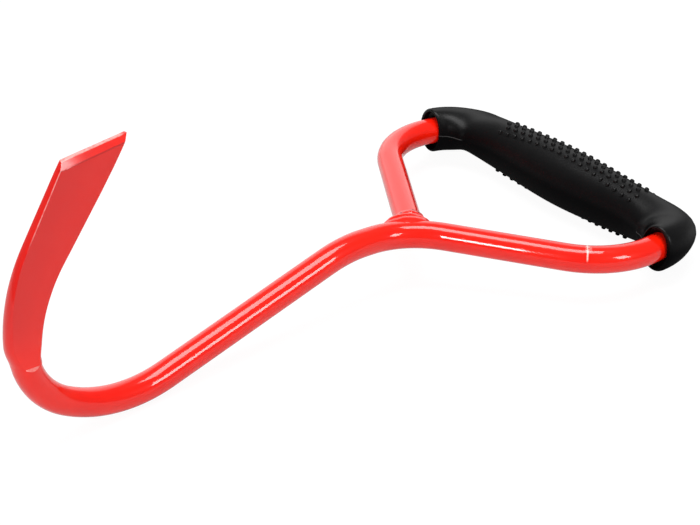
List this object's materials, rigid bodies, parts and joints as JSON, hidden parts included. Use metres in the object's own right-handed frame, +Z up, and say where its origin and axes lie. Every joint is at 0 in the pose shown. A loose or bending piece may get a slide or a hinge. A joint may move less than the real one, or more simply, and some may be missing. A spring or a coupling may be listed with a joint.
{
  "type": "log hook",
  "caption": "Hand log hook: a painted round steel bar bent into a hook with a flat forged blade, closed at the other end into a hand loop with a black rubber grip.",
  "frame": {"origin": "centre of the bounding box, at the floor the tool lies on", "axes": "+X runs from the hook to the grip, +Y along the grip, +Z up"},
  "size_m": [0.3036, 0.1644, 0.1192],
  "materials": {
    "paint": "gloss",
    "weld_paint": "gloss",
    "rubber": "satin"
  },
  "bodies": {
    "root": {"hook_bar": "paint", "loop_weld": "weld_paint", "grip_sleeve": "rubber"}
  },
  "joints": []
}
